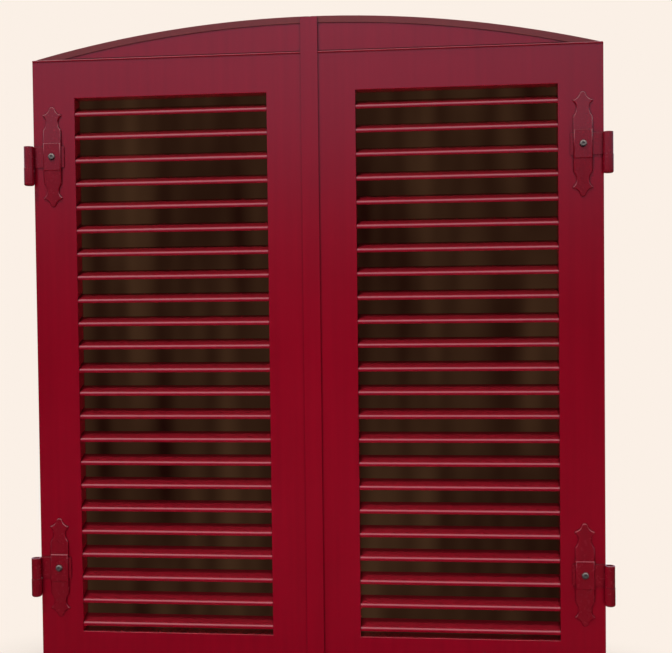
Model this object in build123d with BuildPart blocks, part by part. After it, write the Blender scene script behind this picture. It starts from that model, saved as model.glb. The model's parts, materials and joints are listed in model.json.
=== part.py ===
from build123d import *
import math
import os

os.makedirs("parts", exist_ok=True)

# A pair of louvred shutter leaves under a segmental arch, hung on four wall pintles.
# X runs along the wall from the meeting line, Y into the house from the leaves' outer face
# and Z up from their bottom edge. Lengths are millimetres. What both leaves have is drawn on
# the right leaf and mirrored to the left one.

# The pair
pair_width = 1180
meeting_gap = 4
leaf_height = 1288  # straight height, up to the springing of the arch
leaf_depth = 34
arch_rise = 73

# Clearances
fit_clearance = 0.1
running_clearance = 0.05
seat_clearance = 0.2
overrun = 1

# Frame profiles, hollow extrusions
stile_width = 90
rail_height = 80
profile_wall = 2
profile_corner = 1
spigot_height = 40
spigot_reach = 36
plug_height = 12

# Slats
slat_count = 23
slat_run = 28.5
slat_rise = 12.5
slat_thickness = 2
nose_height = 8
nose_thickness = 3
nose_radius = 6.5
drip_radius = 2
nose_setback = 1
lowest_nose_height = 19  # above the bottom rail
slat_end_gap = 0.4
tenon_width = 16
tenon_length = 9
slot_clearance = 0.2

# Arched head
edging_width = 14
edging_wall = 2
groove_width = 2.5
groove_depth = 3
tongue_thickness = 8
tongue_depth = 15
tongue_margin = 20

# Hinges
lower_hinge_level = 216
upper_hinge_drop = 202  # below the springing of the arch
axis_outset = 7  # hinge axis beyond the leaf's outer edge
pin_radius = 7
strap_thickness = 3
strap_height = 44
strap_reach = 66.5  # from the leaf's outer edge
strap_slot_length = 22
plate_inset = 41.5  # plate centre line from the leaf's outer edge
bridge_thickness = 4
plate_half_width = 20
plate_half_height = 105
arm_root_thickness = 5.2
arm_tip_thickness = 3
plate_outline_shares = {
    "tip": (0, 1),
    "tip_side": (0.32, 0.945),
    "sweep": (0.56, 0.878),
    "cusp_top": (1, 0.843),
    "cusp_foot": (1, 0.815),
    "notch": (0.7, 0.745),
    "neck": (0.64, 0.676),
    "flare": (0.74, 0.595),
    "shoulder": (0.95, 0.533),
}
bridge_half_height = 29
bridge_bevel = 1.7
screw_radius = 4
screw_length = 20
screw_head_radius = 7
screw_head_height = 4.4
screw_head_round = 3
socket_radius = 2.9
socket_depth = 2.2
backing_width = 36
backing_height = 100
backing_thickness = 4

# Pintles
pintle_base_radius = 10.5
pintle_base_height = 38
pintle_base_round = 4
pintle_collar_radius = 8
pintle_collar_reach = 11  # from the hinge axis to the wall
pintle_tail_radius = 6
pintle_tail_outset = 1.5  # tail centre beyond the hinge axis
pintle_tail_length = 120
pintle_tail_bevel = 2
pin_shortfall = 2  # pin top below the knuckle's top

# Cover strip on the left leaf's meeting edge
cover_lap = 18  # over the left leaf
cover_overlap = 14  # over the right leaf
cover_thickness = 5
cover_round = 1.5
cover_relief = 0.6
cover_drop = 2  # below the crown of the arch
cover_leg_thickness = 1.5
cover_leg_depth = 16
cover_screw_count = 6
cover_screw_margin = 90
cover_screw_radius = 1.75
cover_screw_head_radius = 3.2
cover_screw_length = 11

# Closing rod on the left leaf's inner face
rod_radius = 7
rod_inset = 32  # rod axis from the leaf's meeting edge
rod_standoff = 20  # rod axis from the leaf's inner face
rod_bottom = 20
rod_head_reach = 47  # above the springing of the arch
hook_reach = 38
hook_tip = 14
hook_width = 10
hook_thickness = 12
lug_level = 640
lug_radius = 10
lug_thickness = 8
pivot_offset = 18  # lever pivot from the rod axis
pivot_radius = 4
pivot_head_radius = 6
pivot_head_height = 2
guide_width = 26
guide_height = 58
guide_thickness = 3
guide_ring_radius = 11
guide_ring_height = 20
guide_web_width = 10
guide_levels_shares = (0.11, 0.33, 0.66, 0.89)
guide_screw_spread = 40
guide_screw_radius = 2
guide_screw_head_radius = 4
guide_screw_head_height = 2
guide_screw_length = 10
cheek_thickness = 4
cheek_width = 12
fork_length = 22
lever_length = 150
lever_neck_radius = 6
lever_waist_radius = 4.5
knob_radius = 10

# Places worked out from the sizes above
leaf_width = (pair_width - meeting_gap) / 2
outer_x = pair_width / 2
meeting_x = meeting_gap / 2
hinge_jamb_x = outer_x - stile_width
meeting_jamb_x = meeting_x + stile_width
stile_centers = (meeting_x + stile_width / 2, outer_x - stile_width / 2)
opening_width = hinge_jamb_x - meeting_jamb_x
opening_mid_x = (hinge_jamb_x + meeting_jamb_x) / 2
rail_levels = (rail_height / 2, leaf_height - rail_height / 2)
spigot_depth = leaf_depth - 2 * profile_wall - 2 * fit_clearance

slat_pitch = (leaf_height - 2 * rail_height) / slat_count
nose_levels = [rail_height + lowest_nose_height + step * slat_pitch for step in range(slat_count)]
slat_slope = math.degrees(math.atan2(slat_rise, slat_run))
slat_drop = slat_thickness / math.cos(math.radians(slat_slope))
tenon_run = (nose_thickness + slat_run) / 2
tenon_lift = tenon_run * slat_rise / slat_run - slat_drop / 2
tenon_places = [(nose_setback + tenon_run, level + tenon_lift) for level in nose_levels]

arch_radius = (outer_x**2 + arch_rise**2) / (2 * arch_rise)
arch_center_level = leaf_height + arch_rise - arch_radius
tongue_length = opening_width - 2 * tongue_margin

hinge_levels = {"lower": lower_hinge_level, "upper": leaf_height - upper_hinge_drop}
knuckle_radius = pin_radius + strap_thickness
axis_x = outer_x + axis_outset
axis_y = -knuckle_radius
plate_x = outer_x - plate_inset
bridge_gap = strap_thickness + fit_clearance
bridge_depth = bridge_gap + bridge_thickness
bridge_half_width = plate_half_width * plate_outline_shares["shoulder"][0]
screw_places = [(plate_x, level) for level in hinge_levels.values()]

rod_x = -(meeting_x + rod_inset)
rod_y = leaf_depth + rod_standoff
rod_top = leaf_height + rod_head_reach
pivot_y = rod_y + pivot_offset
lug_foot_level = lug_level - lug_radius
support_level = lug_foot_level - seat_clearance - guide_ring_height / 2
guide_levels = [leaf_height * share for share in guide_levels_shares] + [support_level]
guide_screw_places = [
    (rod_x, level + side * guide_screw_spread / 2) for level in guide_levels for side in (-1, 1)
]
cover_height = leaf_height + arch_rise - cover_drop
cover_screw_step = (cover_height - 2 * cover_screw_margin) / (cover_screw_count - 1)
cover_screw_levels = [cover_screw_margin + step * cover_screw_step for step in range(cover_screw_count)]
cover_leg_face = -meeting_x + cover_leg_thickness
cover_screw_planes = [
    Plane((cover_leg_face, cover_leg_depth / 2, level), z_dir=(1, 0, 0)) for level in cover_screw_levels
]


def save(piece, name):
    """Label one finished piece and write it."""
    piece.part.label = name
    export_step(piece.part, f"parts/{name}.step")


def save_pair(piece, name):
    """Write a piece of the right leaf and its mirror image on the left leaf."""
    save(piece, f"right_{name}")
    with BuildPart() as mirrored:
        mirror(piece.part, about=Plane.YZ)
    save(mirrored, f"left_{name}")


def hollow_section(width, height):
    """Draw the section of a thin-walled extrusion at the current location."""
    RectangleRounded(width, height, profile_corner)
    Rectangle(width - 2 * profile_wall, height - 2 * profile_wall, mode=Mode.SUBTRACT)


def jamb_openings():
    """Draw the slat slots and spigot windows of a stile's inner wall."""
    with Locations(*tenon_places):
        Rectangle(
            tenon_width + 2 * slot_clearance,
            slat_thickness + 2 * slot_clearance,
            rotation=slat_slope,
        )
    with Locations(*[(leaf_depth / 2, level) for level in rail_levels]):
        Rectangle(spigot_depth + 2 * fit_clearance, spigot_height + 2 * fit_clearance)


def head_area(inset):
    """Draw the right leaf's share of the arched head, its arc moved in by the inset."""
    with Locations((0, arch_center_level)):
        Circle(arch_radius - inset)
    with Locations((meeting_x, leaf_height)):
        Rectangle(leaf_width, arch_rise, align=Align.MIN, mode=Mode.INTERSECT)


# Hinge stile
with BuildPart() as hinge_stile:
    with BuildSketch():
        with Locations((outer_x - stile_width / 2, leaf_depth / 2)):
            hollow_section(stile_width, leaf_depth)
    extrude(amount=leaf_height)
    with BuildSketch(Plane.YZ.offset(hinge_jamb_x - overrun)):
        jamb_openings()
    extrude(amount=profile_wall + 2 * overrun, mode=Mode.SUBTRACT)
    with BuildSketch(Plane.XZ.offset(overrun)):
        with Locations(*screw_places):
            Circle(screw_radius + fit_clearance)
    extrude(amount=-(profile_wall + 2 * overrun), mode=Mode.SUBTRACT)
save_pair(hinge_stile, "hinge_stile")

# Meeting stile, plain on the right leaf and drilled for cover strip and rod guides on the left
with BuildPart() as meeting_stile:
    with BuildSketch():
        with Locations((meeting_x + stile_width / 2, leaf_depth / 2)):
            hollow_section(stile_width, leaf_depth)
    extrude(amount=leaf_height)
    with BuildSketch(Plane.YZ.offset(meeting_jamb_x + overrun)):
        jamb_openings()
    extrude(amount=-(profile_wall + 2 * overrun), mode=Mode.SUBTRACT)
save(meeting_stile, "right_meeting_stile")

with BuildPart() as left_meeting_stile:
    mirror(meeting_stile.part, about=Plane.YZ)
    with BuildSketch(Plane.XZ.offset(-leaf_depth - overrun)):
        with Locations(*guide_screw_places):
            Circle(guide_screw_radius + fit_clearance)
    extrude(amount=profile_wall + 2 * overrun, mode=Mode.SUBTRACT)
    with BuildSketch(Plane.YZ.offset(-meeting_x + overrun)):
        with Locations(*[(cover_leg_depth / 2, level) for level in cover_screw_levels]):
            Circle(cover_screw_radius + fit_clearance)
    extrude(amount=-(profile_wall + 2 * overrun), mode=Mode.SUBTRACT)
save(left_meeting_stile, "left_meeting_stile")

# Rails, butted between the stiles
with BuildPart() as bottom_rail:
    with BuildSketch(Plane.YZ.offset(meeting_jamb_x)):
        with Locations((leaf_depth / 2, rail_levels[0])):
            hollow_section(leaf_depth, rail_height)
    extrude(amount=opening_width)
save_pair(bottom_rail, "bottom_rail")

with BuildPart() as top_rail:
    with BuildSketch(Plane.YZ.offset(meeting_jamb_x)):
        with Locations((leaf_depth / 2, rail_levels[1])):
            hollow_section(leaf_depth, rail_height)
    extrude(amount=opening_width)
    with BuildSketch(Plane.XY.offset(leaf_height + overrun)):
        with Locations((opening_mid_x, leaf_depth / 2)):
            Rectangle(tongue_length + 2 * fit_clearance, tongue_thickness + 2 * fit_clearance)
    extrude(amount=-(profile_wall + 2 * overrun), mode=Mode.SUBTRACT)
save_pair(top_rail, "top_rail")

# Corner spigots, crimped in the rails' ends and through the stiles' inner walls
with BuildPart() as corner_spigots:
    with Locations(*[(x, leaf_depth / 2, z) for x in (meeting_jamb_x, hinge_jamb_x) for z in rail_levels]):
        Box(2 * spigot_reach, spigot_depth, spigot_height)
save_pair(corner_spigots, "corner_spigots")

# Plugs in the stiles' bottom ends
with BuildPart() as stile_plugs:
    with Locations(*[(x, leaf_depth / 2, 0) for x in stile_centers]):
        Box(
            stile_width - 2 * profile_wall - 2 * fit_clearance,
            leaf_depth - 2 * profile_wall - 2 * fit_clearance,
            plug_height,
            align=(Align.CENTER, Align.CENTER, Align.MIN),
        )
save_pair(stile_plugs, "stile_plugs")

# Slats: a sloping blade with a rounded drip nose, and a tenon at each end
with BuildSketch() as slat_section:
    with BuildLine():
        Polyline(
            (0, -nose_height),
            (0, 0),
            (slat_run, slat_rise),
            (slat_run, slat_rise - slat_drop),
            (nose_thickness, nose_thickness * slat_rise / slat_run - slat_drop),
            (nose_thickness, -nose_height),
            close=True,
        )
    make_face()
    fillet(slat_section.vertices().sort_by_distance((0, 0))[0], radius=nose_radius)
    fillet(slat_section.vertices().sort_by_distance((0, -nose_height))[0], radius=drip_radius)

with BuildPart() as slats:
    with BuildSketch(Plane.YZ.offset(meeting_jamb_x + slat_end_gap)):
        with Locations(*[(nose_setback, level) for level in nose_levels]):
            add(slat_section.sketch)
    extrude(amount=opening_width - 2 * slat_end_gap)
    with BuildSketch(Plane.YZ.offset(meeting_jamb_x - tenon_length)):
        with Locations(*tenon_places):
            Rectangle(tenon_width, slat_thickness, rotation=slat_slope)
    extrude(amount=opening_width + 2 * tenon_length)
save_pair(slats, "slats")

# Arched infill, its tongue in the top rail and a shadow groove along its foot
with BuildPart() as arch_infill:
    with BuildSketch(Plane.XZ.offset(-edging_wall)):
        head_area(edging_wall + fit_clearance)
    extrude(amount=-(leaf_depth - 2 * edging_wall))
    with Locations((meeting_x, edging_wall, leaf_height)):
        Box(leaf_width, groove_depth, groove_width, align=Align.MIN, mode=Mode.SUBTRACT)
    with Locations((opening_mid_x, leaf_depth / 2, leaf_height)):
        Box(
            tongue_length,
            tongue_thickness,
            tongue_depth,
            align=(Align.CENTER, Align.CENTER, Align.MAX),
        )
save_pair(arch_infill, "arch_infill")

# Curved edging, a U channel over the infill's upper edge
with BuildPart() as arch_edging:
    with BuildSketch(Plane.XZ):
        head_area(0)
        with Locations((0, arch_center_level)):
            Circle(arch_radius - edging_width, mode=Mode.SUBTRACT)
    extrude(amount=-leaf_depth)
    with BuildSketch(Plane.XZ.offset(-edging_wall)):
        with Locations((0, arch_center_level)):
            Circle(arch_radius - edging_wall)
    extrude(amount=-(leaf_depth - 2 * edging_wall), mode=Mode.SUBTRACT)
save_pair(arch_edging, "arch_edging")

# Hinge plate: scrolled arms that thin towards their tips, and a joggled bridge over the strap
plate_point = {
    name: (width_share * plate_half_width, height_share * plate_half_height)
    for name, (width_share, height_share) in plate_outline_shares.items()
}
with BuildSketch() as plate_outline:
    with BuildLine():
        TangentArc(plate_point["tip"], plate_point["tip_side"], tangent=(1, 0))
        ThreePointArc(plate_point["tip_side"], plate_point["sweep"], plate_point["cusp_top"])
        Line(plate_point["cusp_top"], plate_point["cusp_foot"])
        ThreePointArc(plate_point["cusp_foot"], plate_point["notch"], plate_point["neck"])
        ThreePointArc(plate_point["neck"], plate_point["flare"], plate_point["shoulder"])
        Line(plate_point["shoulder"], (bridge_half_width, 0))
        mirror(about=Plane.YZ)
        mirror(about=Plane.XZ)
    make_face()

for height, level in hinge_levels.items():
    with BuildPart() as hinge_plate:
        with BuildSketch(Plane.XZ):
            with Locations((plate_x, level)):
                add(plate_outline.sketch)
        extrude(amount=arm_root_thickness)
        with BuildSketch(Plane.YZ.offset(plate_x - plate_half_width)):
            with BuildLine():
                Polyline(
                    (0, level - plate_half_height),
                    (-arm_tip_thickness, level - plate_half_height),
                    (-arm_root_thickness, level - bridge_half_height),
                    (-arm_root_thickness, level + bridge_half_height),
                    (-arm_tip_thickness, level + plate_half_height),
                    (0, level + plate_half_height),
                    close=True,
                )
            make_face()
        extrude(amount=2 * plate_half_width, mode=Mode.INTERSECT)
        with BuildSketch(Plane.XZ):
            with Locations((plate_x, level)):
                Rectangle(2 * bridge_half_width, 2 * bridge_half_height)
        extrude(amount=bridge_depth)
        bridge_edges = hinge_plate.faces().sort_by(Axis.Y)[0].edges().filter_by(Axis.X)
        chamfer(bridge_edges, length=bridge_bevel)
        with BuildSketch(Plane.XZ):
            with Locations((plate_x, level)):
                Rectangle(
                    2 * (bridge_half_width + overrun), 2 * (bridge_half_height - bridge_thickness)
                )
        extrude(amount=bridge_gap, mode=Mode.SUBTRACT)
        with BuildSketch(Plane.XZ):
            with Locations((plate_x, level)):
                Circle(screw_radius + fit_clearance)
        extrude(amount=bridge_depth, mode=Mode.SUBTRACT)
    save_pair(hinge_plate, f"{height}_hinge_plate")

# Hinge strap, a flat bar rolled into the knuckle
for height, level in hinge_levels.items():
    with BuildPart() as hinge_strap:
        with BuildSketch(Plane.XY.offset(level - strap_height / 2)):
            with Locations((axis_x, 0)):
                Rectangle(strap_reach + axis_outset, strap_thickness, align=Align.MAX)
            with Locations((axis_x, axis_y)):
                Circle(knuckle_radius)
                Circle(pin_radius + running_clearance, mode=Mode.SUBTRACT)
        extrude(amount=strap_height)
        with BuildSketch(Plane.XZ):
            with Locations((plate_x, level)):
                SlotOverall(strap_slot_length, 2 * (screw_radius + fit_clearance))
        extrude(amount=strap_thickness, mode=Mode.SUBTRACT)
    save_pair(hinge_strap, f"{height}_hinge_strap")

# Hinge screws with button heads and hexagon sockets
with BuildPart() as hinge_screws:
    with BuildSketch(Plane.XZ.offset(bridge_depth)):
        with Locations(*screw_places):
            Circle(screw_head_radius)
    extrude(amount=screw_head_height)
    fillet(hinge_screws.faces().group_by(Axis.Y)[0].edges(), radius=screw_head_round)
    with BuildSketch(Plane.XZ.offset(bridge_depth + screw_head_height)):
        with Locations(*screw_places):
            RegularPolygon(socket_radius, side_count=6)
    extrude(amount=-socket_depth, mode=Mode.SUBTRACT)
    with BuildSketch(Plane.XZ.offset(bridge_depth)):
        with Locations(*screw_places):
            Circle(screw_radius)
    extrude(amount=-screw_length)
save_pair(hinge_screws, "hinge_screws")

# Backing plates behind the stile's front wall, tapped for the hinge screws
with BuildPart() as backing_plates:
    with Locations(*[(x, profile_wall + backing_thickness / 2, z) for x, z in screw_places]):
        Box(backing_width, backing_thickness, backing_height)
    with BuildSketch(Plane.XZ.offset(-profile_wall + overrun)):
        with Locations(*screw_places):
            Circle(screw_radius + running_clearance)
    extrude(amount=-(backing_thickness + 2 * overrun), mode=Mode.SUBTRACT)
save_pair(backing_plates, "backing_plates")

# Pintles, each with a rounded base, a pin in the knuckle, a collar and a tail into the wall
for height, level in hinge_levels.items():
    base_top = level - strap_height / 2 - seat_clearance
    with BuildPart() as pintle:
        with BuildSketch(Plane.XY.offset(base_top)):
            with Locations((axis_x, axis_y)):
                Circle(pintle_base_radius)
        extrude(amount=-pintle_base_height)
        fillet(pintle.edges().group_by(Axis.Z)[0], radius=pintle_base_round)
        with BuildSketch(Plane.XY.offset(base_top)):
            with Locations((axis_x, axis_y)):
                Circle(pin_radius)
        extrude(amount=strap_height + seat_clearance - pin_shortfall)
        for radius, reach in (
            (pintle_collar_radius, pintle_collar_reach),
            (pintle_tail_radius, pintle_tail_length),
        ):
            with BuildSketch(Plane.XZ.offset(-axis_y)):
                with Locations((axis_x + pintle_tail_outset, base_top - pintle_base_height / 2)):
                    Circle(radius)
            extrude(amount=-reach)
        chamfer(pintle.edges().group_by(Axis.Y)[-1], length=pintle_tail_bevel)
    save_pair(pintle, f"{height}_pintle")

# Cover strip over the meeting line, with a leg screwed to the left leaf's edge
with BuildPart() as cover_strip:
    with BuildSketch():
        with Locations((-meeting_x - cover_lap, 0)):
            Rectangle(
                cover_lap + meeting_gap + cover_overlap,
                cover_thickness,
                align=(Align.MIN, Align.MAX),
            )
        with Locations((-meeting_x, 0)):
            Rectangle(cover_leg_thickness, cover_leg_depth, align=Align.MIN)
    extrude(amount=cover_height)
    front_edges = cover_strip.faces().sort_by(Axis.Y)[0].edges().filter_by(Axis.Z)
    fillet(front_edges, radius=cover_round)
    with Locations((0, 0, 0)):
        Box(
            meeting_x + cover_overlap,
            cover_relief,
            cover_height,
            align=(Align.MIN, Align.MAX, Align.MIN),
            mode=Mode.SUBTRACT,
        )
    with Locations(*cover_screw_planes):
        CounterSinkHole(
            cover_screw_radius + fit_clearance,
            cover_screw_head_radius + fit_clearance,
            depth=cover_leg_thickness,
        )
save(cover_strip, "cover_strip")

# Countersunk screws of the cover strip
with BuildPart() as cover_screws:
    with Locations(*cover_screw_planes):
        Cylinder(
            cover_screw_radius,
            cover_screw_length,
            align=(Align.CENTER, Align.CENTER, Align.MAX),
        )
        Cone(
            cover_screw_radius,
            cover_screw_head_radius,
            cover_screw_head_radius - cover_screw_radius,
            align=(Align.CENTER, Align.CENTER, Align.MAX),
        )
save(cover_screws, "cover_screws")

# Closing rod with a hook at each end and a lug for the lever
with BuildPart() as closing_rod:
    with BuildSketch(Plane.XY.offset(rod_bottom)):
        with Locations((rod_x, rod_y)):
            Circle(rod_radius)
    extrude(amount=rod_top - rod_bottom)
    for hook_level in (rod_bottom, rod_top - hook_thickness):
        with BuildSketch(Plane.XY.offset(hook_level)):
            with Locations((rod_x, rod_y)):
                Rectangle(hook_width, hook_reach, align=(Align.CENTER, Align.MIN))
            with Locations((rod_x - hook_width / 2, rod_y + hook_reach)):
                Rectangle(hook_width + hook_tip, hook_width, align=(Align.MIN, Align.MAX))
        extrude(amount=hook_thickness)
    with BuildSketch(Plane.YZ.offset(rod_x)):
        with Locations((rod_y, lug_level)):
            Rectangle(pivot_offset, 2 * lug_radius, align=(Align.MIN, Align.CENTER))
        with Locations((pivot_y, lug_level)):
            Circle(lug_radius)
            Circle(pivot_radius + running_clearance, mode=Mode.SUBTRACT)
    extrude(amount=lug_thickness / 2, both=True)
save(closing_rod, "closing_rod")

# Rod guides screwed to the left meeting stile
with BuildPart() as rod_guides:
    for level in guide_levels:
        with Locations((rod_x, leaf_depth, level)):
            Box(guide_width, guide_thickness, guide_height, align=(Align.CENTER, Align.MIN, Align.CENTER))
        with BuildSketch(Plane.XY.offset(level - guide_ring_height / 2)):
            with Locations((rod_x, leaf_depth)):
                Rectangle(guide_web_width, rod_standoff, align=(Align.CENTER, Align.MIN))
            with Locations((rod_x, rod_y)):
                Circle(guide_ring_radius)
                Circle(rod_radius + running_clearance, mode=Mode.SUBTRACT)
        extrude(amount=guide_ring_height)
    with BuildSketch(Plane.XZ.offset(-leaf_depth + overrun)):
        with Locations(*guide_screw_places):
            Circle(guide_screw_radius + fit_clearance)
    extrude(amount=-(guide_thickness + 2 * overrun), mode=Mode.SUBTRACT)
save(rod_guides, "rod_guides")

# Guide screws
with BuildPart() as guide_screws:
    with BuildSketch(Plane.XZ.offset(-leaf_depth - guide_thickness)):
        with Locations(*guide_screw_places):
            Circle(guide_screw_head_radius)
    extrude(amount=-guide_screw_head_height)
    with BuildSketch(Plane.XZ.offset(-leaf_depth - guide_thickness)):
        with Locations(*guide_screw_places):
            Circle(guide_screw_radius)
    extrude(amount=guide_screw_length)
save(guide_screws, "guide_screws")

# Lever, hanging from the rod's lug: a fork, a waisted grip and a round knob
fork_face = lug_thickness / 2 + fit_clearance
fork_half_width = fork_face + cheek_thickness
with BuildPart() as lever:
    with BuildSketch(Plane.YZ.offset(rod_x - fork_half_width)):
        with Locations((pivot_y, lug_level)):
            Circle(cheek_width / 2)
            Rectangle(cheek_width, fork_length, align=(Align.CENTER, Align.MAX))
            Circle(pivot_radius + running_clearance, mode=Mode.SUBTRACT)
    extrude(amount=2 * fork_half_width)
    with BuildSketch(Plane.YZ.offset(rod_x - fork_face)):
        with Locations((pivot_y, lug_level)):
            Rectangle(cheek_width + 2 * overrun, 2 * (lug_radius + seat_clearance))
    extrude(amount=2 * fork_face, mode=Mode.SUBTRACT)
    grip_top = lug_level - fork_length
    grip_foot = lug_level - lever_length
    with BuildSketch(Plane.YZ.offset(rod_x)):
        with BuildLine():
            Line((pivot_y, grip_top), (pivot_y + lever_neck_radius, grip_top))
            Line((pivot_y + lever_neck_radius, grip_top), (pivot_y + lever_waist_radius, grip_foot))
            Line((pivot_y + lever_waist_radius, grip_foot), (pivot_y, grip_foot))
            Line((pivot_y, grip_foot), (pivot_y, grip_top))
        make_face()
    revolve(axis=Axis((rod_x, pivot_y, 0), (0, 0, 1)))
    with Locations((rod_x, pivot_y, grip_foot)):
        Sphere(knob_radius)
save(lever, "lever")

# Lever pin with a flat head at each end
with BuildPart() as lever_pin:
    pin_half_length = fork_half_width + fit_clearance
    with BuildSketch(Plane.YZ.offset(rod_x)):
        with Locations((pivot_y, lug_level)):
            Circle(pivot_radius)
    extrude(amount=pin_half_length, both=True)
    for side in (-1, 1):
        with BuildSketch(Plane.YZ.offset(rod_x + side * pin_half_length)):
            with Locations((pivot_y, lug_level)):
                Circle(pivot_head_radius)
        extrude(amount=side * pivot_head_height)
save(lever_pin, "lever_pin")
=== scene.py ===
# %% [markdown]
# # A pair of louvred shutters
# Two wine-red leaves hang on wall pintles under a shallow arch. Their frames come from the CAD
# model, which fixes every size. Here they get their paint, their slats, soft edges on the
# ironwork and a plain studio. All lengths are metres, X runs along the wall, Y into the house
# and Z up, as in the CAD model.

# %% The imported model
import json
import math

import bmesh
import bpy
from mathutils import Matrix, Vector

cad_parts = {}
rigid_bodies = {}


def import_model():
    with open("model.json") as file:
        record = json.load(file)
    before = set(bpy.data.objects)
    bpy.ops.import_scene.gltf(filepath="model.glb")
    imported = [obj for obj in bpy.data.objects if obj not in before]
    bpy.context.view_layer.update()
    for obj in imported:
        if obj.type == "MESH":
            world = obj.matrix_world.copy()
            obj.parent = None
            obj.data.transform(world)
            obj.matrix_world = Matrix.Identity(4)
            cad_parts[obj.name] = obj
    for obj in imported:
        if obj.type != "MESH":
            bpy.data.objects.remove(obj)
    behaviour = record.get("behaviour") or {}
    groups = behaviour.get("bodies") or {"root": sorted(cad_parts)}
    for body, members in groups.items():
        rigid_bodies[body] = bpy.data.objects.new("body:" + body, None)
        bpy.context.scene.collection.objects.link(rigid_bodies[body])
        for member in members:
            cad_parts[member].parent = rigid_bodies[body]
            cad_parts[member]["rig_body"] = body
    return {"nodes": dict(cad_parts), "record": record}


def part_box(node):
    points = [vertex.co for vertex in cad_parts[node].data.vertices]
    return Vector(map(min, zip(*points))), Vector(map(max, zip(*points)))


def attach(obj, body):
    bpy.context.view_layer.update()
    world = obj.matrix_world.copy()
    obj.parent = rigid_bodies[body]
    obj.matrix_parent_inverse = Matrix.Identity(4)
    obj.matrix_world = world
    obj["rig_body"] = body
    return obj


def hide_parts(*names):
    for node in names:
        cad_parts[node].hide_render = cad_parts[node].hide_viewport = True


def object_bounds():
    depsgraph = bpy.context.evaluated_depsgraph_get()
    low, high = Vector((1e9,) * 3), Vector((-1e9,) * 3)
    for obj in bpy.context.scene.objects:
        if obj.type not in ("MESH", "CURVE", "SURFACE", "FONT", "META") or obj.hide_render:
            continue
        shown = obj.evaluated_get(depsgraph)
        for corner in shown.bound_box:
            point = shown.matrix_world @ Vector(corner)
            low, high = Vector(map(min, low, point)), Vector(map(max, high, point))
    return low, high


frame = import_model()
nodes = frame["nodes"]
cad_box = [list(corner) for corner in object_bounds()]
mm = 0.001
sides = ("left", "right")
print(len(nodes), "CAD nodes in a box from", cad_box[0], "to", cad_box[1])

# %% [markdown]
# Two small helpers carry the whole file. One turns the hex colours that people read off a colour
# card into the linear values that shaders use. The other adds a node, sets it and wires it, so
# that a material or a Geometry Nodes tree reads as a list of its nodes.


# %% Helpers for colours and nodes
def linear(hex_colour):
    """Turn an sRGB hex colour into linear RGBA."""
    channels = [int(hex_colour[start : start + 2], 16) / 255 for start in (1, 3, 5)]
    decoded = [c / 12.92 if c <= 0.04045 else ((c + 0.055) / 1.055) ** 2.4 for c in channels]
    return (*decoded, 1.0)


def add(tree, kind, inputs=None, **settings):
    """Add a node with its settings, and give each named input a value or a link."""
    node = tree.nodes.new(kind)
    for name, value in settings.items():
        setattr(node, name, value)
    for name, value in (inputs or {}).items():
        if isinstance(value, bpy.types.NodeSocket):
            tree.links.new(value, node.inputs[name])
        else:
            node.inputs[name].default_value = value
    return node


# %% [markdown]
# The camera stands where the photograph was taken: a little right of the meeting line, about two
# metres from the leaves and at mid height. Its place, turn and lens come from fitting a pinhole
# camera to the straight edges of the leaves, so the picture lines up with the photograph.

# %% Camera
photo_width = 672
focal_pixels = 1058
sensor_width = 36
camera_place = Vector((0.2644, -2.1692, 0.7824))
camera_yaw = math.radians(-5.717)
camera_pitch = math.radians(-1.535)
camera_roll = math.radians(0.640)

forward = Vector(
    (
        math.sin(camera_yaw) * math.cos(camera_pitch),
        math.cos(camera_yaw) * math.cos(camera_pitch),
        math.sin(camera_pitch),
    )
)
level_right = Vector((math.cos(camera_yaw), -math.sin(camera_yaw), 0))
level_up = level_right.cross(forward)
right = math.cos(camera_roll) * level_right - math.sin(camera_roll) * level_up
up = math.cos(camera_roll) * level_up + math.sin(camera_roll) * level_right
turn = Matrix((right, up, -forward)).transposed()

camera_data = bpy.data.cameras.new("photo_camera")
camera_data.sensor_width = sensor_width
camera_data.lens = sensor_width * focal_pixels / photo_width
camera = bpy.data.objects.new("photo_camera", camera_data)
camera.matrix_world = Matrix.Translation(camera_place) @ turn.to_4x4()
bpy.context.scene.collection.objects.link(camera)
bpy.context.scene.camera = camera
print("camera lens", round(camera_data.lens, 2), "mm")

# %% [markdown]
# The light is a cloudy sky in a studio. Satin paint mirrors it: bright half way up, dimmer
# overhead, dim at the horizon and dark below, so every edge that leans up gets a line of light
# and the faces that look out stay deep red. A softer sky lights the shapes themselves, which
# keeps the paint at the colour it was mixed to. The camera sees a plain pale ground instead of
# either sky. Two soft boxes high up throw short shadows under the ironwork and the slats, a low
# one lifts the fronts, and another lights the backs of the leaves. Paint mirrors none of them.

# %% Sky
scene = bpy.context.scene
scene.view_settings.view_transform = "Standard"

pale_ground = linear("#FBF0E6")
# Each step is a share of the way from straight down to straight up, and the sky's tone there.
soft_sky = (
    (0.0, "#080808"),
    (0.5, "#101010"),
    (0.56, "#505050"),
    (0.7, "#8A8B8C"),
    (0.85, "#C0C1C2"),
    (1.0, "#FFFFFF"),
)
shine_sky = (
    (0.0, "#000000"),
    (0.48, "#030303"),
    (0.53, "#272A32"),
    (0.585, "#62677A"),
    (0.675, "#858CA0"),
    (0.775, "#EAE4E7"),
    (0.93, "#FBF3F5"),
    (0.985, "#868B98"),
    (1.0, "#6A707C"),
)
soft_strength = 0.45
behind_strength = 4.0
shine_strength = 4.0

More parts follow.
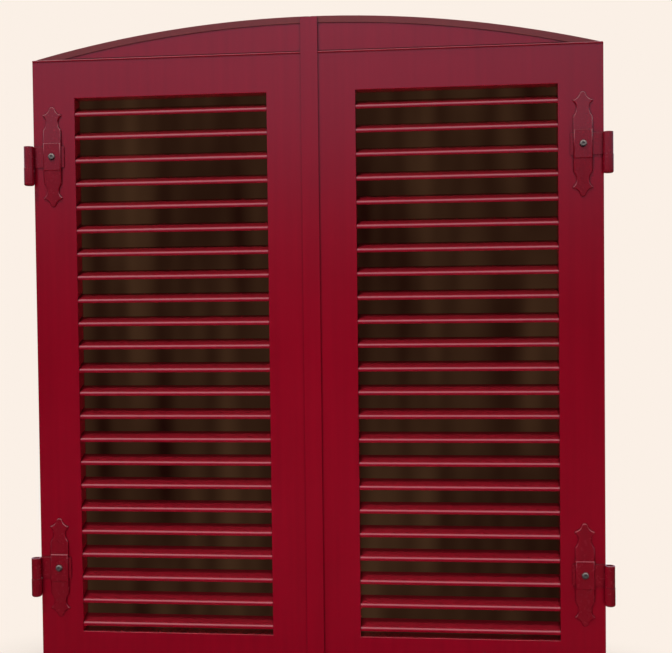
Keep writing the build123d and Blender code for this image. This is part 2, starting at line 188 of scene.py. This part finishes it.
world = bpy.data.worlds.new("cloudy_sky")
scene.world = world
world.use_nodes = True
world.cycles.sampling_method = "NONE"
tree = world.node_tree
tree.nodes.clear()
direction = add(tree, "ShaderNodeTexCoord").outputs["Generated"]
along = add(tree, "ShaderNodeSeparateXYZ", {"Vector": direction}).outputs
share = add(tree, "ShaderNodeMapRange", {"Value": along["Z"], "From Min": -1.0}).outputs["Result"]
soft_level = add(
    tree,
    "ShaderNodeMapRange",
    {"Value": along["Y"], "To Min": soft_strength, "To Max": behind_strength},
).outputs["Result"]
skies = []
for steps, strength in ((soft_sky, soft_level), (shine_sky, shine_strength)):
    ramp = add(tree, "ShaderNodeValToRGB", {"Fac": share})
    while len(ramp.color_ramp.elements) < len(steps):
        ramp.color_ramp.elements.new(0.5)
    for element, (place, colour) in zip(ramp.color_ramp.elements, steps):
        element.position = place
        element.color = linear(colour)
    skies.append(
        add(tree, "ShaderNodeBackground", {"Color": ramp.outputs["Color"], "Strength": strength})
    )
seen = add(tree, "ShaderNodeBackground", {"Color": pale_ground, "Strength": 1.0})
ray = add(tree, "ShaderNodeLightPath").outputs
lit = add(
    tree,
    "ShaderNodeMixShader",
    {0: ray["Is Glossy Ray"], 1: skies[0].outputs[0], 2: skies[1].outputs[0]},
)
mixed = add(
    tree,
    "ShaderNodeMixShader",
    {0: ray["Is Camera Ray"], 1: lit.outputs[0], 2: seen.outputs[0]},
)
add(tree, "ShaderNodeOutputWorld", {"Surface": mixed.outputs[0]})
print("sky strengths", soft_strength, "for shapes and", shine_strength, "for shine")

# %% Soft boxes
soft_boxes = {
    # place, point it faces, width, height, watts, degrees its beam fans out
    "key_box": ((-2.2, -3.4, 7.2), (0, 0, 0.4), 1.2, 1.2, 8, 28),
    "top_box": ((-0.3, -1.1, 7.4), (0, 0, 0.4), 1.2, 1.2, 2.5, 28),
    "front_fill": ((0.05, -1.6, 0.25), (0.05, 0, 0.35), 1.2, 0.6, 13.5, 180),
    "back_fill": ((0.3, 4.2, 0.9), (0, 0, 0.7), 4.0, 1.4, 60, 180),
}
for name, (place, aim, width, tall, watts, fan) in soft_boxes.items():
    lamp = bpy.data.lights.new(name, "AREA")
    lamp.shape = "RECTANGLE"
    lamp.size = width
    lamp.size_y = tall
    lamp.energy = watts
    lamp.spread = math.radians(fan)
    lamp.cycles.use_multiple_importance_sampling = False
    holder = bpy.data.objects.new(name, lamp)
    holder.location = place
    holder.rotation_euler = (Vector(aim) - Vector(place)).to_track_quat("-Z", "Y").to_euler()
    holder.visible_camera = False
    holder.visible_glossy = False
    scene.collection.objects.link(holder)
print(len(soft_boxes), "soft boxes")

# %% [markdown]
# The floor is a pale sheet just under the leaves. It looks the same as the ground behind it, and a
# painted shadow darkens it only near the model, which sets the leaves down. A dark card rides
# behind each opening and paints the shade of the unlit room, so that the gaps between the slats
# stay deep brown from outside. It shows from the front only and lets light through.


# %% Floor and the dark behind the slats
def sheet_mesh(name, corners):
    """Make a single flat face from its corners."""
    mesh = bpy.data.meshes.new(name)
    mesh.from_pydata(corners, [], [range(len(corners))])
    sheet = bpy.data.objects.new(name, mesh)
    scene.collection.objects.link(sheet)
    return sheet


floor_reach = 14.0
floor_gap = 2 * mm
floor_level = cad_box[0][2] - floor_gap
floor_corners = ((-1, -1), (1, -1), (1, 1), (-1, 1))
floor = sheet_mesh(
    "studio_floor",
    [(x * floor_reach, y * floor_reach, floor_level) for x, y in floor_corners],
)
floor.visible_glossy = False
floor_paint = bpy.data.materials.new("pale_studio_floor")
floor_paint.use_nodes = True
tree = floor_paint.node_tree
tree.nodes.clear()
matt = add(tree, "ShaderNodeBsdfDiffuse", {"Color": linear("#D8D0C8"), "Roughness": 1.0})
# Painted shadow: ambient occlusion darkens the floor's glow near the model.
shade_reach = 250 * mm
painted_contact_shadow = add(tree, "ShaderNodeAmbientOcclusion", {"Color": pale_ground, "Distance": shade_reach})
level = add(tree, "ShaderNodeEmission", {"Color": painted_contact_shadow.outputs["Color"], "Strength": 1.0})
camera_ray = add(tree, "ShaderNodeLightPath").outputs["Is Camera Ray"]
mixed = add(tree, "ShaderNodeMixShader", {0: camera_ray, 1: matt.outputs[0], 2: level.outputs[0]})
add(tree, "ShaderNodeOutputMaterial", {"Surface": mixed.outputs[0]})
floor.data.materials.append(floor_paint)

# Painted shade: a card glowing dark brown stands for the unlit room behind the slats.
painted_room_shade = bpy.data.materials.new("unlit_room")
painted_room_shade.use_nodes = True
tree = painted_room_shade.node_tree
tree.nodes.clear()
band_width = 70 * mm
band_height = 600 * mm
place = add(tree, "ShaderNodeTexCoord").outputs["Object"]
drawn = add(
    tree,
    "ShaderNodeMapping",
    {"Vector": place, "Scale": (1 / band_width, 1.0, 1 / band_height)},
)
cloud = add(tree, "ShaderNodeTexNoise", {"Vector": drawn.outputs[0], "Scale": 1.0, "Detail": 1.0})
tone = add(
    tree,
    "ShaderNodeMapRange",
    {"Value": cloud.outputs["Fac"], "From Min": 0.25, "From Max": 0.75},
)
brown = add(
    tree,
    "ShaderNodeMix",
    {0: tone.outputs["Result"], 6: linear("#1A0805"), 7: linear("#3C2719")},
    data_type="RGBA",
)
room_shade_glow = add(tree, "ShaderNodeEmission", {"Color": brown.outputs[2], "Strength": 1.0})
clear = add(tree, "ShaderNodeBsdfTransparent")
shadow_ray = add(tree, "ShaderNodeLightPath").outputs["Is Shadow Ray"]
behind = add(tree, "ShaderNodeNewGeometry").outputs["Backfacing"]
passed = add(tree, "ShaderNodeMath", {0: shadow_ray, 1: behind}, operation="MAXIMUM")
mixed = add(
    tree,
    "ShaderNodeMixShader",
    {0: passed.outputs[0], 1: room_shade_glow.outputs[0], 2: clear.outputs[0]},
)
add(tree, "ShaderNodeOutputMaterial", {"Surface": mixed.outputs[0]})

card_gap = 0.5 * mm
card_lap = 4 * mm
for side in sides:
    top_low, top_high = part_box(f"{side}_top_rail")
    bottom_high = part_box(f"{side}_bottom_rail")[1]
    card_y = top_high.y + card_gap
    x0, x1 = top_low.x - card_lap, top_high.x + card_lap
    z0, z1 = bottom_high.z - card_lap, top_low.z + card_lap
    card = sheet_mesh(
        f"{side}_room_card",
        [(x0, card_y, z0), (x1, card_y, z0), (x1, card_y, z1), (x0, card_y, z1)],
    )
    card.data.materials.append(painted_room_shade)
    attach(card, f"{side}_leaf")
print("floor at", round(floor_level, 4), "and a card behind each opening")


# %% [markdown]
# The leaves are aluminium with a polyester powder coat. It is baked on as a satin film, which
# pulls itself into a faint orange peel about three millimetres across. Years outdoors leave it a
# little uneven: patches as wide as a hand, thin rain marks down the faces and a film of dust on
# whatever looks up. Painted shade darkens the corners and creases, where grime also gathers. The
# steel hinges carry much the same red by brush, with coarser marks. The edging along the arch is
# painted a darker, browner red, which is painted shade.


# %% Red finishes
def red_coat(name, deep, worn, dust_most, peel, peel_depth, roughness):
    """Make a red paint from two reds, its dust, painted corner shade, its peel's size and depth and
    its roughness.
    """
    paint = bpy.data.materials.new(name)
    paint.use_nodes = True
    tree = paint.node_tree
    coat = tree.nodes["Principled BSDF"]
    place = add(tree, "ShaderNodeTexCoord").outputs["Object"]

    hand_patch = 160 * mm
    patches = add(
        tree,
        "ShaderNodeTexNoise",
        {"Vector": place, "Scale": 1 / hand_patch, "Detail": 4.0},
    )
    red = add(
        tree,
        "ShaderNodeMix",
        {0: patches.outputs["Fac"], 6: linear(deep), 7: linear(worn)},
        data_type="RGBA",
    )

    mark_width = 14 * mm
    mark_length = 420 * mm
    stretched = add(
        tree,
        "ShaderNodeMapping",
        {"Vector": place, "Scale": (1 / mark_width, 1 / mark_width, 1 / mark_length)},
    )
    rain = add(
        tree,
        "ShaderNodeTexNoise",
        {"Vector": stretched.outputs[0], "Scale": 1.0, "Detail": 3.0},
    )
    between_marks = 1.04
    on_marks = 0.94
    rain_shade = add(
        tree,
        "ShaderNodeMapRange",
        {
            "Value": rain.outputs["Fac"],
            "From Min": 0.35,
            "From Max": 0.7,
            "To Min": between_marks,
            "To Max": on_marks,
        },
    )
    rained = add(
        tree,
        "ShaderNodeVectorMath",
        {0: red.outputs[2], "Scale": rain_shade.outputs["Result"]},
        operation="SCALE",
    )

    normal = add(tree, "ShaderNodeNewGeometry").outputs["Normal"]
    upward = add(tree, "ShaderNodeSeparateXYZ", {"Vector": normal}).outputs["Z"]
    settled = add(
        tree,
        "ShaderNodeMapRange",
        {"Value": upward, "From Min": 0.5, "From Max": 1.0, "To Max": dust_most},
    )
    speck = 9 * mm
    specks = add(tree, "ShaderNodeTexNoise", {"Vector": place, "Scale": 1 / speck, "Detail": 5.0})
    film = add(
        tree,
        "ShaderNodeMath",
        {0: settled.outputs["Result"], 1: specks.outputs["Fac"]},
        operation="MULTIPLY",
    )
    dust = linear("#A8857C")
    dusty = add(
        tree,
        "ShaderNodeMix",
        {0: film.outputs[0], 6: rained.outputs[0], 7: dust},
        data_type="RGBA",
    )

    # Painted shade: ambient occlusion darkens the paint in corners and creases, where grime also
    # gathers.
    shade_and_grime_reach = 9 * mm
    shade_and_grime_darkest = 0.35
    openness = add(tree, "ShaderNodeAmbientOcclusion", {"Distance": shade_and_grime_reach}, samples=16)
    shade_and_grime = add(
        tree,
        "ShaderNodeMapRange",
        {
            "Value": openness.outputs["AO"],
            "From Min": 0.35,
            "From Max": 0.85,
            "To Min": shade_and_grime_darkest,
        },
    )
    shaded_and_grimed = add(
        tree,
        "ShaderNodeVectorMath",
        {0: dusty.outputs[2], "Scale": shade_and_grime.outputs["Result"]},
        operation="SCALE",
    )
    tree.links.new(shaded_and_grimed.outputs[0], coat.inputs["Base Color"])

    smoother, rougher = roughness - 0.04, roughness + 0.05
    gloss = add(
        tree,
        "ShaderNodeMapRange",
        {"Value": specks.outputs["Fac"], "To Min": smoother, "To Max": rougher},
    )
    tree.links.new(gloss.outputs["Result"], coat.inputs["Roughness"])

    ripple = add(tree, "ShaderNodeTexNoise", {"Vector": place, "Scale": 1 / peel, "Detail": 1.0})
    peel_strength = 0.35
    bump = add(
        tree,
        "ShaderNodeBump",
        {"Height": ripple.outputs["Fac"], "Strength": peel_strength, "Distance": peel_depth},
    )
    tree.links.new(bump.outputs["Normal"], coat.inputs["Normal"])
    return paint


powder_coat = red_coat("wine_red_powder_coat", "#7E0218", "#88061E", 0.06, 3 * mm, 0.05 * mm, 0.17)
# Painted shade: the arch edging gets a darker, browner red than the leaves.
shaded_edging_coat = red_coat("shaded_edging_paint", "#601A1C", "#6C2624", 0.4, 2 * mm, 0.05 * mm, 0.36)
hinge_enamel = red_coat("brushed_red_enamel", "#720316", "#7B071B", 0.1, 4 * mm, 0.07 * mm, 0.26)
print("three red finishes")

# %% [markdown]
# Little else is bare: the hinge screws are stainless steel, turned and then dulled by rain, the
# backing plates are zinc plated, the spigots in the corners are raw aluminium, and the plugs in
# the stile ends are black polyamide with a fine moulded grain.


# %% Bare metals and plastic
def plain_finish(name, colour, metallic, roughness, grain, grain_depth):
    """Make a metal or plastic whose roughness and bump follow one fine grain."""
    finish = bpy.data.materials.new(name)
    finish.use_nodes = True
    tree = finish.node_tree
    body = tree.nodes["Principled BSDF"]
    body.inputs["Metallic"].default_value = metallic
    place = add(tree, "ShaderNodeTexCoord").outputs["Object"]
    fine = add(tree, "ShaderNodeTexNoise", {"Vector": place, "Scale": 1 / grain, "Detail": 4.0})
    lightest = 1.25
    light = [min(1.0, channel * lightest) for channel in linear(colour)]
    tone = add(
        tree,
        "ShaderNodeMix",
        {0: fine.outputs["Fac"], 6: linear(colour), 7: light},
        data_type="RGBA",
    )
    tree.links.new(tone.outputs[2], body.inputs["Base Color"])
    smoother, rougher = roughness - 0.08, roughness + 0.12
    dull = add(
        tree,
        "ShaderNodeMapRange",
        {"Value": fine.outputs["Fac"], "To Min": smoother, "To Max": rougher},
    )
    tree.links.new(dull.outputs["Result"], body.inputs["Roughness"])
    grain_strength = 0.3
    bump = add(
        tree,
        "ShaderNodeBump",
        {"Height": fine.outputs["Fac"], "Strength": grain_strength, "Distance": grain_depth},
    )
    tree.links.new(bump.outputs["Normal"], body.inputs["Normal"])
    return finish


finish_of_slot = {
    "red_aluminium": powder_coat,
    "red_steel": hinge_enamel,
    "stainless_screws": plain_finish(
        "dulled_stainless_steel", "#6F6862", 1.0, 0.56, 1.5 * mm, 0.03 * mm
    ),
    "zinc_steel": plain_finish("zinc_plated_steel", "#9FA2A4", 1.0, 0.42, 3 * mm, 0.03 * mm),
    "raw_aluminium": plain_finish("raw_aluminium", "#B9BBBD", 1.0, 0.4, 2 * mm, 0.02 * mm),
    "black_plastic": plain_finish("black_polyamide", "#17181A", 0.0, 0.55, 1 * mm, 0.04 * mm),
}
slot_of_node = {row["node"]: row["material_slot"] for row in frame["record"]["subparts"]}
for name, node in nodes.items():
    node.data.materials.clear()
    is_edging = name.endswith("arch_edging")
    node.data.materials.append(shaded_edging_coat if is_edging else finish_of_slot[slot_of_node[name]])
print(len(finish_of_slot), "finishes on", len(nodes), "nodes")

# %% [markdown]
# A slat is one extruded strip: a sloping blade that sheds rain outwards, with a rounded nose
# that hangs down as a drip edge. Its section is drawn once, as corners with a radius each, and
# pushed along X. Geometry Nodes then repeats the strip up the leaf. Each copy sits a hair off
# true, as fitted slats do, so the lines of light on the noses are not all alike.


# %% One slat
def round_corners(corners, steps):
    """Replace each (y, z, radius) corner of a closed outline by an arc of short steps."""
    outline = []
    for index, (y, z, radius) in enumerate(corners):
        here = Vector((y, z))
        back = (Vector(corners[index - 1][:2]) - here).normalized()
        ahead = (Vector(corners[(index + 1) % len(corners)][:2]) - here).normalized()
        half = back.angle(ahead) / 2
        centre = here + (back + ahead).normalized() * radius / math.sin(half)
        start = here + back * radius / math.tan(half) - centre
        end = here + ahead * radius / math.tan(half) - centre
        for step in range(steps + 1):
            outline.append(centre + start.slerp(end, step / steps) * radius)
    return outline


slat_run = 28.5 * mm
slat_rise = 12.5 * mm
slat_thickness = 2 * mm
nose_height = 8 * mm
nose_thickness = 3 * mm
nose_radius = 6.5 * mm
drip_radius = 2 * mm
lip_radius = 0.3 * mm
edge_radius = 0.8 * mm
bend_radius = 2 * mm
slat_end_gap = 0.4 * mm
arc_steps = 5
slope = slat_rise / slat_run
blade_drop = slat_thickness * math.hypot(1, slope)
slat_corners = [
    (0, -nose_height, drip_radius),
    (0, 0, nose_radius),
    (slat_run, slat_rise, edge_radius),
    (slat_run, slat_rise - blade_drop, edge_radius),
    (nose_thickness, nose_thickness * slope - blade_drop, bend_radius),
    (nose_thickness, -nose_height, lip_radius),
]
slat_outline = round_corners(slat_corners, arc_steps)


def push_along_x(name, outline, low_x, high_x):
    """Push a closed (y, z) outline along X and close both ends."""
    shape = bmesh.new()
    rings = [[shape.verts.new((x, y, z)) for y, z in outline] for x in (low_x, high_x)]
    count = len(outline)
    for index in range(count):
        after = (index + 1) % count
        face = shape.faces.new((rings[0][index], rings[0][after], rings[1][after], rings[1][index]))
        face.smooth = True
    for ring in rings:
        end = shape.faces.new(ring)
        for edge in end.edges:
            edge.smooth = False
    bmesh.ops.recalc_face_normals(shape, faces=shape.faces)
    mesh = bpy.data.meshes.new(name)
    shape.to_mesh(mesh)
    shape.free()
    return mesh


print(len(slat_outline), "points round a slat")

# %% The louvre tree
slat_count = 23
louvre = bpy.data.node_groups.new("repeat_slats", "GeometryNodeTree")
sockets = {
    "Geometry": ("INPUT", "NodeSocketGeometry"),
    "Count": ("INPUT", "NodeSocketInt"),
    "First nose": ("INPUT", "NodeSocketVector"),
    "Pitch": ("INPUT", "NodeSocketVector"),
    "Tilt": ("INPUT", "NodeSocketFloat"),
    "Seed": ("INPUT", "NodeSocketInt"),
    "Material": ("INPUT", "NodeSocketMaterial"),
    "Louvre": ("OUTPUT", "NodeSocketGeometry"),
}
for name, (way, kind) in sockets.items():
    louvre.interface.new_socket(name, in_out=way, socket_type=kind)
given = add(louvre, "NodeGroupInput").outputs
levels = add(
    louvre,
    "GeometryNodeMeshLine",
    {"Count": given["Count"], "Start Location": given["First nose"], "Offset": given["Pitch"]},
)
lowest = add(louvre, "ShaderNodeMath", {0: given["Tilt"], 1: -1.0}, operation="MULTIPLY")
tilt = add(
    louvre,
    "FunctionNodeRandomValue",
    {2: lowest.outputs[0], 3: given["Tilt"], "Seed": given["Seed"]},
    data_type="FLOAT",
)
lean = add(louvre, "ShaderNodeCombineXYZ", {"X": tilt.outputs[1]})
copies = add(
    louvre,
    "GeometryNodeInstanceOnPoints",
    {"Points": levels.outputs[0], "Instance": given["Geometry"], "Rotation": lean.outputs[0]},
)
solid = add(louvre, "GeometryNodeRealizeInstances", {"Geometry": copies.outputs[0]})
painted = add(
    louvre,
    "GeometryNodeSetMaterial",
    {"Geometry": solid.outputs[0], "Material": given["Material"]},
)
add(louvre, "NodeGroupOutput", {"Louvre": painted.outputs[0]})
print("louvre tree with", len(louvre.nodes), "nodes")


# %% Slats in both leaves
def run_tree(piece, tree, values):
    """Run a Geometry Nodes tree on a piece and keep the result as its plain mesh."""
    modifier = piece.modifiers.new(tree.name, "NODES")
    modifier.node_group = tree
    identifiers = {item.name: item.identifier for item in tree.interface.items_tree}
    for name, value in values.items():
        modifier[identifiers[name]] = value
    evaluated = piece.evaluated_get(bpy.context.evaluated_depsgraph_get())
    made = bpy.data.meshes.new_from_object(evaluated)
    piece.modifiers.remove(modifier)
    piece.data = made
    made.name = piece.name


tilt_spread = math.radians(0.25)
seeds = {"left": 4, "right": 9}
for side in sides:
    rail_low, rail_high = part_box(f"{side}_top_rail")
    slats_low, slats_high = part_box(f"{side}_slats")
    pitch = (slats_high.z - slats_low.z - nose_height - slat_rise) / (slat_count - 1)
    slat_ends = (rail_low.x + slat_end_gap, rail_high.x - slat_end_gap)
    mesh = push_along_x(f"{side}_slat", slat_outline, *slat_ends)
    slats = bpy.data.objects.new(f"{side}_louvre_slats", mesh)
    scene.collection.objects.link(slats)
    run_tree(
        slats,
        louvre,
        {
            "Count": slat_count,
            "First nose": (0.0, slats_low.y, slats_low.z + nose_height),
            "Pitch": (0.0, 0.0, pitch),
            "Tilt": tilt_spread,
            "Seed": seeds[side],
            "Material": powder_coat,
        },
    )
    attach(slats, f"{side}_leaf")
    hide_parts(f"{side}_slats")
    print(slats.name, len(slats.data.polygons), "faces, pitch", round(pitch, 5))

# %% [markdown]
# The frames show no line where rail meets stile: the corners are welded, ground flush and
# painted over. The extrusions have rounded corners, so a thin wedge fills the small valley at
# every joint, in front and behind.

# %% Corner welds
weld_depth = 0.95 * mm
weld_lap = 0.06 * mm
weld_lift = 0.008 * mm
for side in sides:
    shape = bmesh.new()
    for rail in ("top_rail", "bottom_rail"):
        low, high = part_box(f"{side}_{rail}")
        for end_x, away in ((low.x, -1), (high.x, 1)):
            for face_y, inward in ((low.y, 1), (high.y, -1)):
                wedge = (
                    (end_x + away * (weld_depth + weld_lap), face_y - inward * weld_lift),
                    (end_x - away * weld_lap, face_y - inward * weld_lift),
                    (end_x - away * weld_lap, face_y + inward * weld_depth),
                )
                rings = [[shape.verts.new((x, y, z)) for x, y in wedge] for z in (low.z, high.z)]
                for ring in rings:
                    shape.faces.new(ring)
                for first in range(len(wedge)):
                    after = (first + 1) % len(wedge)
                    shape.faces.new(
                        (rings[0][first], rings[0][after], rings[1][after], rings[1][first])
                    )
    bmesh.ops.recalc_face_normals(shape, faces=shape.faces)
    mesh = bpy.data.meshes.new(f"{side}_corner_welds")
    shape.to_mesh(mesh)
    shape.free()
    welds = bpy.data.objects.new(f"{side}_corner_welds", mesh)
    scene.collection.objects.link(welds)
    welds.data.materials.append(powder_coat)
    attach(welds, f"{side}_leaf")
    print(welds.name, len(mesh.polygons), "faces")

# %% [markdown]
# A thin half-round bead runs along the foot of the arched head and throws rain clear of the
# joint below it. From outside it reads as a fine light line with a dark one under it. It is a
# half circle pushed along X, from the cover strip out to the corner of the leaf.

# %% Drip beads
bead_radius = 2.2 * mm
bead_drop = 0.8 * mm
bead_root = 0.3 * mm
bead_end_gap = 1 * mm
bead_steps = 10
cover_low, cover_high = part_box("cover_strip")
bead_spans = {
    "left": (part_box("left_hinge_stile")[0].x + bead_end_gap, cover_low.x),
    "right": (cover_high.x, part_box("right_hinge_stile")[1].x - bead_end_gap),
}
for side, span in bead_spans.items():
    stile_low, stile_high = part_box(f"{side}_hinge_stile")
    middle_z = stile_high.z - bead_drop
    angles = [math.pi * step / bead_steps for step in range(bead_steps + 1)]
    section = [
        (stile_low.y - bead_radius * math.sin(angle), middle_z + bead_radius * math.cos(angle))
        for angle in angles
    ]
    section.append((stile_low.y + bead_root, middle_z - bead_radius))
    section.append((stile_low.y + bead_root, middle_z + bead_radius))
    bead_mesh = push_along_x(f"{side}_drip_bead", section, *span)
    bead = bpy.data.objects.new(f"{side}_drip_bead", bead_mesh)
    scene.collection.objects.link(bead)
    bead.data.materials.append(powder_coat)
    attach(bead, f"{side}_leaf")
    print(bead.name, round(span[1] - span[0], 4), "m long")

# %% [markdown]
# Pressed and rolled metal has no knife edges. The hinge straps, pintles, rod parts, edging and
# infill are copied from the CAD nodes, merged into whole faces, and given a Bevel that rounds
# every corner by less than a millimetre. Light catches those rounds, which is most of what makes
# ironwork look like iron. The copy stands for the node at the same place.

# %% Soft edges on the ironwork
merge_distance = 0.002 * mm
flat_angle = math.radians(0.5)
corner_angle = math.radians(32)
edge_segments = 2
edge_rounds = {
    "hinge_strap": 0.9 * mm,
    "pintle": 0.8 * mm,
    "arch_edging": 0.6 * mm,
    "arch_infill": 0.6 * mm,
    "closing_rod": 0.7 * mm,
    "lever": 0.6 * mm,
}


def whole_faces(node):
    """Copy a node's triangles into a mesh of merged, whole faces."""
    source = nodes[node].data
    mesh = bpy.data.meshes.new(f"{node}_soft")
    mesh.from_pydata(
        [vertex.co for vertex in source.vertices],
        [],
        [polygon.vertices[:] for polygon in source.polygons],
    )
    shape = bmesh.new()
    shape.from_mesh(mesh)
    bmesh.ops.remove_doubles(shape, verts=shape.verts, dist=merge_distance)
    bmesh.ops.dissolve_limit(shape, angle_limit=flat_angle, verts=shape.verts, edges=shape.edges)
    for face in shape.faces:
        face.smooth = True
    shape.to_mesh(mesh)
    shape.free()
    return mesh


def soften(node, width):
    """Stand a copy of a node with rounded edges in its place."""
    piece = bpy.data.objects.new(f"{node}_soft", whole_faces(node))
    scene.collection.objects.link(piece)
    rounding = piece.modifiers.new("soft_edges", "BEVEL")
    rounding.width = width
    rounding.segments = edge_segments
    rounding.limit_method = "ANGLE"
    rounding.angle_limit = corner_angle
    rounding.harden_normals = True
    piece.data.materials.append(nodes[node].data.materials[0])
    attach(piece, nodes[node]["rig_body"])
    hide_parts(node)
    return piece


softened = [
    soften(node, width)
    for node in sorted(nodes)
    for ending, width in edge_rounds.items()
    if node.endswith(ending)
]
print(len(softened), "softened pieces")

# %% [markdown]
# The hinge plates are forged thick and rounded off by hammer and file, but only where they show:
# the edge round the front is a full round, while the step over the strap and the back are left
# sharp. Bevel weights on the edges say which of them the Bevel takes.


# %% Forged hinge plates
forged_round = 2.2 * mm
forged_segments = 4
step_width = 15 * mm
front_lean = 0.5
side_lean = 0.3


def weigh_edges(mesh):
    """Give bevel weight to the edge round a plate's front, and keep its other corners sharp."""
    shape = bmesh.new()
    shape.from_mesh(mesh)
    weight = shape.edges.layers.float.new("bevel_weight_edge")
    for edge in shape.edges:
        if edge.calc_face_angle() < corner_angle:
            continue
        front, side = sorted(face.normal.y for face in edge.link_faces)
        rims_front = edge.is_convex and front < -front_lean and abs(side) < side_lean
        across = abs(edge.verts[0].co.x - edge.verts[1].co.x)
        if rims_front and across < step_width:
            edge[weight] = 1.0
        else:
            edge.smooth = False
    shape.to_mesh(mesh)
    shape.free()


for node in sorted(nodes):
    if node.endswith("hinge_plate"):
        plate = soften(node, forged_round)
        weigh_edges(plate.data)
        rounding = plate.modifiers["soft_edges"]
        rounding.limit_method = "WEIGHT"
        rounding.segments = forged_segments
        rounding.use_clamp_overlap = False
        print(plate.name, "rounded by", forged_round)
